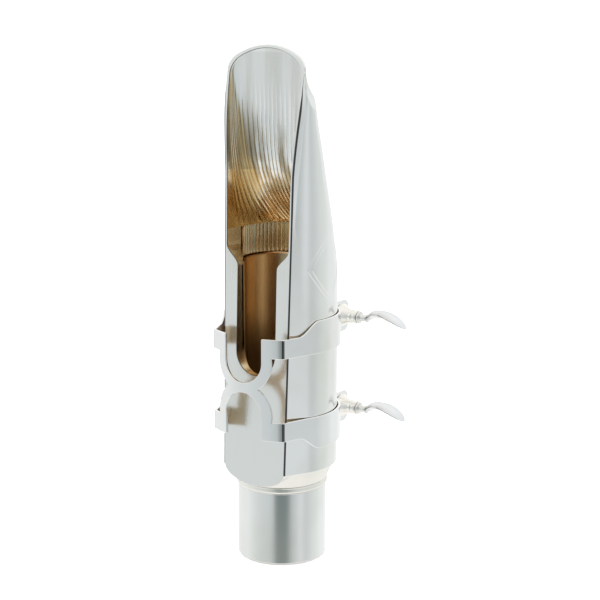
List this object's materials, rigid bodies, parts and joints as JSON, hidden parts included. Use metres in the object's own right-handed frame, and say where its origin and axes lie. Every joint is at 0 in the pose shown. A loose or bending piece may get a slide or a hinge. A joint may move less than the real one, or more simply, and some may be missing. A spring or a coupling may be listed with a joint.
{
  "type": "saxophone mouthpiece with ligature",
  "caption": "Metal tenor saxophone mouthpiece with a long open window, ridged baffle and round shank, wearing a stamped metal ligature with thumb screws behind.",
  "frame": {"origin": "centre of the shank's open end, at the mouth of the neck bore", "axes": "+Z along the bore towards the tip, -Y out of the flat table, +X towards the screw paddles"},
  "size_m": [0.033, 0.0319, 0.105],
  "materials": {
    "silver_plate": "polished silver plate",
    "bore_bronze": "fine turned, tarnished inside, plated outside",
    "silver_bead": "polished silver plate",
    "gold_flutes": "milled flutes",
    "black_plate": "satin hard rubber",
    "band_silver": "polished plated sheet",
    "turned_silver": "turned and plated",
    "screw_silver": "threaded and plated",
    "paddle_silver": "polished plate"
  },
  "bodies": {
    "mouthpiece": {"mouthpiece_body": "silver_plate", "shank_tube": "bore_bronze", "shank_ring": "silver_bead", "chamber_ring": "gold_flutes", "bite_plate": "black_plate"},
    "ligature": {"ligature_band": "band_silver", "threaded_post_upper": "turned_silver", "threaded_post_lower": "turned_silver"},
    "upper_ferrule": {"ferrule_upper": "turned_silver"},
    "upper_screw": {"screw_rod_upper": "screw_silver", "thumb_paddle_upper": "paddle_silver"},
    "lower_ferrule": {"ferrule_lower": "turned_silver"},
    "lower_screw": {"screw_rod_lower": "screw_silver", "thumb_paddle_lower": "paddle_silver"}
  },
  "joints": [
    {"name": "ligature_slide", "type": "slide", "parent": "mouthpiece", "child": "ligature", "axis": [0, 0, 1], "range_m": [-0.004, 0.085]},
    {"name": "upper_screw_travel", "type": "slide", "parent": "ligature", "child": "upper_ferrule", "axis": [1, 0, 0], "range_m": [0, 0.00254]},
    {"name": "upper_screw_turn", "type": "hinge", "parent": "upper_ferrule", "child": "upper_screw", "pos_m": [0, 0.0142, 0.0484], "axis": [1, 0, 0], "range_deg": [0, 1440]},
    {"name": "lower_screw_travel", "type": "slide", "parent": "ligature", "child": "lower_ferrule", "axis": [1, 0, 0], "range_m": [0, 0.00254]},
    {"name": "lower_screw_turn", "type": "hinge", "parent": "lower_ferrule", "child": "lower_screw", "pos_m": [0, 0.0142, 0.0288], "axis": [1, 0, 0], "range_deg": [0, 1440]}
  ],
  "couplings": [
    {"joint": "upper_screw_turn", "follows": "upper_screw_travel", "rad_per_m": 9894.8},
    {"joint": "lower_screw_turn", "follows": "lower_screw_travel", "rad_per_m": 9894.8}
  ]
}
